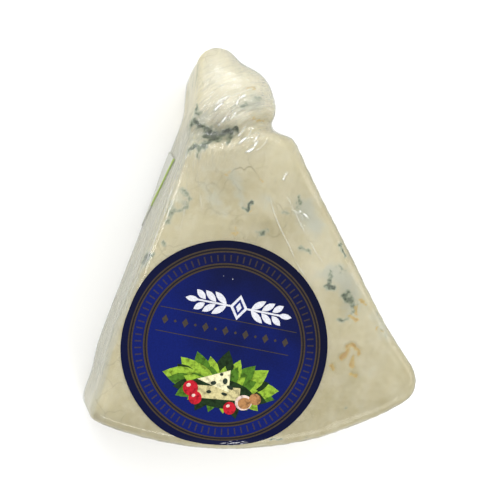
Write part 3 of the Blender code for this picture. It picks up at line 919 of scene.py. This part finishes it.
def labelMaterial():
    material, tree, surface = newMaterial("frontLabelPrint")
    flat = addNode(tree, "UVMap", uv_map="flat").outputs[0]
    inputs = {"Vector": flat, "Location": (-1, -1, 0), "Scale": (2, 2, 1)}
    centred = addNode(tree, "Mapping", inputs).outputs[0]
    x, y = addNode(tree, "SeparateXYZ", {0: centred}).outputs[:2]
    radius = addNode(tree, "VectorMath", {0: centred}, operation="LENGTH").outputs["Value"]
    angle = product(tree, sums(tree, "ARCTAN2", y, x), label["ticks"] / (2 * math.pi))
    saw = sums(tree, "FRACT", total(tree, angle, 100.0))
    tick = product(tree, sums(tree, "LESS_THAN", saw, 0.22), between(tree, radius, *label["tickBand"]))

    # Painted sheen and shade: the blue lighter towards the lower left and darker towards the upper right,
    # under a random tone
    tone = cloud(tree, objectPlace(tree), 48.0, 2.0)
    across = product(tree, total(tree, x, y), 0.22)
    toneAndShade = steps(tree, total(tree, tone, across), 0.36, 0.80)
    colour = layOver(tree, toneAndShade, paint(*label["blue"]), label["shadedBlue"])
    rim = sums(tree, "GREATER_THAN", radius, label["doubleRings"][1][1])
    colour = layOver(tree, product(tree, rim, 0.85), colour, label["navy"])
    for inner, outer in label["doubleRings"]:
        colour = layOver(tree, between(tree, radius, inner, outer), colour, label["goldShade"])
        for start in (inner, outer - label["ringLine"]):
            line = between(tree, radius, start, start + label["ringLine"])
            colour = layOver(tree, line, colour, label["gold"])
    colour = layOver(tree, product(tree, tick, 0.7), colour, label["gold"])

    # Stray white specks, and painted highlights where the film puckers over the lower edge
    dust = addNode(tree, "TexVoronoi", {"Vector": objectPlace(tree), "Scale": 420.0}).outputs["Distance"]
    rare = steps(tree, cloud(tree, objectPlace(tree), 210.0, 1.0), 0.66, 0.70)
    speck = product(tree, sums(tree, "LESS_THAN", dust, 0.075), rare)
    puckerGlint = cloud(tree, objectPlace(tree, (1.5 * mm, 0.30 * mm, 1.0), math.radians(3)), 1.0, 3.0)
    nearby = objectPlace(tree, (4 * mm, 0.9 * mm, 1.0), 0.0, label["crease"])
    away = addNode(tree, "VectorMath", {0: nearby}, operation="LENGTH").outputs["Value"]
    puckerGlint = product(tree, steps(tree, puckerGlint, 0.53, 0.60), steps(tree, away, 1.0, 0.6))
    bright = sums(tree, "MAXIMUM", product(tree, speck, 0.8), puckerGlint)
    colour = layOver(tree, bright, colour, label["white"])
    printedSurface(tree, colour, surface, label["roughness"])
    return material


def faceUp(piece):
    if readVectors(piece.data.polygons, "normal")[:, 2].sum() < 0:
        inEditMode(piece, (bpy.ops.mesh.flip_normals, {}))


def buildLabelDisc():
    cx, cy = label["centre"]
    deselectAll()
    bpy.ops.mesh.primitive_circle_add(
        vertices=label["spokes"], radius=label["radius"], location=(cx, cy, faceHeight + 1 * mm)
    )
    piece = bpy.context.active_object
    piece.name = "frontLabelDisc"
    bpy.ops.object.mode_set(mode="EDIT")
    bpy.ops.mesh.select_all(action="SELECT")
    last = 1.0
    for ring in label["rings"]:
        bpy.ops.mesh.extrude_edges_move()
        bpy.ops.transform.resize(value=(ring / last, ring / last, 1.0))
        last = ring
    bpy.ops.mesh.edge_face_add()
    bpy.ops.mesh.poke()
    bpy.ops.object.mode_set(mode="OBJECT")
    bpy.ops.object.transform_apply(location=True, rotation=True, scale=True)
    faceUp(piece)
    fromCentre = readPoints(piece)[:, :2] - np.array((cx, cy))
    writeUv(piece, "flat", fromCentre / label["radius"] / 2 + 0.5)
    applyModifier(
        piece,
        "SHRINKWRAP",
        target=frame["nodes"]["wrapped_wedge"],
        wrap_method="NEAREST_SURFACEPOINT",
        wrap_mode="ABOVE_SURFACE",
        offset=label["aboveWedge"],
    )
    smoothPiece(piece, 3)
    return piece


# Printed shapes: kind, place, half size along and across, turn in degrees, colour.
# One side of the white ornament is a stem with pairs of leaves and one at its end
def spray(side):
    shapes = [("bar", (side * 6.2, 0.0), (4.6, 0.22), 0, "white")]
    for reach, length in ((4.7, 2.1), (7.2, 1.9), (9.6, 1.6)):
        for up in (-1, 1):
            place = (side * reach, up * 1.45)
            shapes.append(("leaf", place, (length, 0.78), side * up * 38, "white"))
    return shapes + [("leaf", (side * 11.6, 0.0), (1.7, 0.7), 0, "white")]


# Leaves side by side that point outwards from an oval
def garland(count, first, last, middle, reach, length, tones):
    shapes = []
    for k in range(count):
        angle = math.radians(first + (last - first) * k / (count - 1))
        size = length * (1.0 + 0.22 * math.sin(2.4 * k))
        place = (middle[0] + reach[0] * math.cos(angle), middle[1] + reach[1] * math.sin(angle))
        turn = math.degrees(angle) + 14 * math.sin(3.1 * k)
        shapes.append(("leaf", place, (size, 0.42 * size), turn, tones[k % len(tones)]))
    return shapes


labelPrint = {
    "ornamentPlace": (1.6, 9.6),
    "ornament": spray(-1)
    + spray(1)
    + [
        ("lozenge", (0, 0), (2.2, 3.1), 0, "white"),
        ("lozenge", (0, 0), (1.4, 2.1), 0, "plaqueBlue"),
        ("lozenge", (0, 0), (0.7, 1.2), 0, "white"),
    ],
    "picturePlace": (1.0, -9.8),
    "pictureScale": 1.2,
    "picture": garland(13, -8, 188, (0, 0), (7.6, 2.6), 3.9, ("leaf", "lime", "darkLeaf", "lime"))
    + garland(10, 196, 344, (0, -0.4), (7.0, 2.6), 3.0, ("darkLeaf", "leaf", "lime"))
    + garland(9, 10, 170, (0, -0.5), (5.0, 1.8), 2.8, ("lime", "leaf"))
    + [
        ("round", (0, -1.6), (7.2, 3.0), 0, "darkLeaf"),
        ("slab", (-0.4, -1.6), (4.6, 1.3), 6, "cheeseSide"),
        ("slice", (-0.6, 0.9), (4.4, 2.6), 6, "cheesePrint"),
        ("round", (-1.6, 0.2), (0.60, 0.42), 20, "mouldPrint"),
        ("round", (0.7, 1.0), (0.50, 0.62), 0, "mouldPrint"),
        ("round", (1.9, -0.1), (0.70, 0.36), -15, "mouldPrint"),
        ("round", (-0.3, 2.2), (0.34, 0.30), 0, "mouldPrint"),
        ("round", (-2.2, -1.7), (0.50, 0.34), 10, "mouldPrint"),
        ("round", (1.0, -1.6), (0.62, 0.30), -8, "mouldPrint"),
        ("round", (-6.0, -1.6), (1.55, 1.55), 0, "red"),
        ("round", (-6.5, -1.1), (0.45, 0.35), 30, "blush"),
        ("round", (-4.7, -3.4), (1.35, 1.35), 0, "red"),
        ("round", (-5.1, -3.0), (0.40, 0.30), 30, "blush"),
        ("round", (5.2, -2.6), (1.75, 1.55), 15, "blush"),
        ("round", (5.4, -2.7), (1.35, 1.15), 15, "nut"),
        ("round", (7.4, -1.5), (1.25, 1.15), -20, "nut"),
        ("round", (2.6, -4.2), (1.30, 1.30), 0, "red"),
        ("round", (2.2, -3.8), (0.38, 0.30), 30, "blush"),
    ],
    "lines": [
        ("bar", (-0.2, 6.3), (17.0, 0.09), 0, "gold"),
        ("bar", (-0.7, 0.45), (16.6, 0.09), 0, "gold"),
    ]
    + [("lozenge", (k * 5.0 - 0.5, 3.4), (0.80, 1.15), 0, "gold") for k in range(-3, 4)]
    + [("lozenge", (k * 5.0 - 3.0, 3.4), (0.40, 0.40), 0, "gold") for k in range(-2, 4)],
    "corners": {"leaf": 16, "round": 24, "slice": 3, "slab": 4, "bar": 4, "lozenge": 4},
    "ink": 0.006 * mm,
    "aboveDisc": 0.012 * mm,
    "layerStep": 0.004 * mm,
    "colours": {
        "white": (206, 207, 213),
        "plaqueBlue": (24, 34, 96),
        "gold": (62, 55, 49),
        "leaf": (74, 114, 34),
        "lime": (138, 172, 54),
        "darkLeaf": (30, 50, 26),
        "cheesePrint": (226, 220, 178),
        "cheeseSide": (196, 186, 136),
        "mouldPrint": (44, 56, 46),
        "red": (182, 30, 44),
        "blush": (220, 196, 184),
        "nut": (168, 122, 78),
    },
}


def addStamp(kind, place, size, turn):
    deselectAll()
    bpy.ops.mesh.primitive_circle_add(
        vertices=labelPrint["corners"][kind], radius=1.0, fill_type="TRIFAN", location=(0, 0, 0)
    )
    stamp = bpy.context.active_object
    points = readPoints(stamp)
    if kind in ("bar", "slab"):  # a square's corners, turned to lie level
        points[:, :2] = np.sign(np.round(points[:, :2] @ np.array(((0.7, 0.7), (-0.7, 0.7))), 3))
    if kind == "slice":
        points[:, :2] = points[:, :2] @ np.array(((0.0, 1.0), (-1.0, 0.0)))
    if kind == "leaf":  # pinched to a point at both ends
        tips = np.abs(points[:, 0])
        points[:, 1] *= (1.0 - tips**3) * 0.9 + 0.1 * (tips < 0.99)
    points[:, :2] *= np.array(size) * mm
    cx, cy = label["centre"]
    whole = Matrix.Translation((cx, cy, labelHigh.z + 2 * mm))
    whole @= Matrix.Rotation(label["slant"], 4, "Z")
    whole @= Matrix.Translation((place[0] * mm, place[1] * mm, 0.0))
    whole @= Matrix.Rotation(math.radians(turn), 4, "Z")
    writePoints(stamp, np.array([whole @ Vector(p) for p in points]))
    faceUp(stamp)
    return stamp


def printMaterial(name):
    if name in bpy.data.materials:
        return bpy.data.materials[name]
    material, tree, surface = newMaterial(name)
    mottle = cloud(tree, objectPlace(tree), 900.0, 3.0, 0.6)
    colour = paint(*labelPrint["colours"][name])
    edge = tuple(c * 0.45 for c in colour[:3]) + (1.0,)
    spread = 0.15 if name in ("white", "gold", "plaqueBlue") else 1.0
    mixed = blendColours(tree, steps(tree, mottle, 0.42, 0.70, 0.0, spread), colour, edge)
    printedSurface(tree, mixed, surface, label["roughness"])
    return material


# One piece of flat shapes on the disc. Layered ones overlap, so each lies a step higher
def buildPrint(name, shapes, disc, middle=(0.0, 0.0), scale=1.0, layered=True):
    stamps = []
    for layer, (kind, place, size, turn, colour) in enumerate(shapes):
        place = [scale * p + m for p, m in zip(place, middle)]
        stamp = addStamp(kind, place, [scale * s for s in size], turn)
        inEditMode(stamp, (bpy.ops.mesh.subdivide, {"number_cuts": 2 if max(size) > 3 else 1}))
        height = labelPrint["aboveDisc"] + labelPrint["layerStep"] * layer * layered
        applyModifier(
            stamp,
            "SHRINKWRAP",
            target=disc,
            wrap_method="PROJECT",
            use_project_z=True,
            use_negative_direction=True,
            use_positive_direction=False,
            offset=height,
        )
        applyModifier(stamp, "SOLIDIFY", thickness=labelPrint["ink"], offset=1.0)
        stamp.data.materials.append(printMaterial(colour))
        stamps.append(stamp)
    deselectAll()
    for stamp in stamps:
        stamp.select_set(True)
    bpy.context.view_layer.objects.active = stamps[0]
    bpy.ops.object.join()
    piece = bpy.context.active_object
    piece.name = name
    piece.data.name = name
    return piece


def finishLabel(disc, prints):
    applyModifier(disc, "SOLIDIFY", thickness=label["paper"], offset=-1.0)
    finishPiece(disc, labelMaterial(), "front_label")
    for piece in prints:
        finishPiece(piece, None, "front_label")


# The corner of a second label on the left cut face, white with a green border down its far edge
sideLabel = {
    "closer": 0.36 * mm,  # towards the film, past the gap that the solids keep
    "cornerAlong": 31.5 * mm,  # from the wheel's axis, down the cut face
    "cornerHeight": 31.0 * mm,
    "farLean": math.radians(31.0),
    "border": 1.5 * mm,
    "borderLength": 20.0 * mm,
    "uvSpan": 100 * mm,  # the length that a UV of 1 stands for
    "roughness": 0.45,
    "white": (196, 197, 188),
    "green": (172, 192, 112),
}


def sideMaterial():
    material, tree, surface = newMaterial("sideLabelPaper")
    place = addNode(tree, "UVMap", uv_map="fromEdge").outputs[0]
    inside, below = addNode(tree, "SeparateXYZ", {0: place}).outputs[:2]
    span = sideLabel["uvSpan"]
    green = sums(tree, "LESS_THAN", inside, sideLabel["border"] / span)
    green = product(tree, green, sums(tree, "LESS_THAN", below, sideLabel["borderLength"] / span))
    colour = layOver(tree, green, paint(*sideLabel["white"]), sideLabel["green"])
    printedSurface(tree, colour, surface, sideLabel["roughness"])
    return material


def buildSideLabel(piece):
    inEditMode(piece, (bpy.ops.mesh.subdivide, {"number_cuts": 2}))
    points = readPoints(piece)
    offAxis = points[:, :2] - np.array(wheelAxis)
    along = -offAxis[:, 0] * math.sin(halfAngle) - offAxis[:, 1] * math.cos(halfAngle)
    along -= sideLabel["cornerAlong"]
    below = sideLabel["cornerHeight"] - points[:, 2]
    lean = sideLabel["farLean"]
    inside = below * math.sin(lean) - along * math.cos(lean)
    writePoints(piece, points - np.array(leftOutward) * sideLabel["closer"])
    writeUv(piece, "fromEdge", np.stack((inside, below), axis=1) / sideLabel["uvSpan"])
    finishPiece(piece, sideMaterial(), "side_label")


addCamera()
addStudio()
blueCheese = wedgeForm("blueCheese", cheese["grain"], cheese["easing"])
shrinkFilm = wedgeForm("shrinkFilm", film["grain"], film["easing"])
sideFlap = copyOfNode("side_label", "sideLabelCorner")
labelDisc = buildLabelDisc()
prints = [
    buildPrint("labelOrnament", labelPrint["ornament"], labelDisc, labelPrint["ornamentPlace"]),
    buildPrint(
        "labelPicture",
        labelPrint["picture"],
        labelDisc,
        labelPrint["picturePlace"],
        labelPrint["pictureScale"],
    ),
    buildPrint("labelLines", labelPrint["lines"], labelDisc, layered=False),
]
buildCheese(blueCheese)
buildFilm(shrinkFilm)
finishLabel(labelDisc, prints)
buildSideLabel(sideFlap)
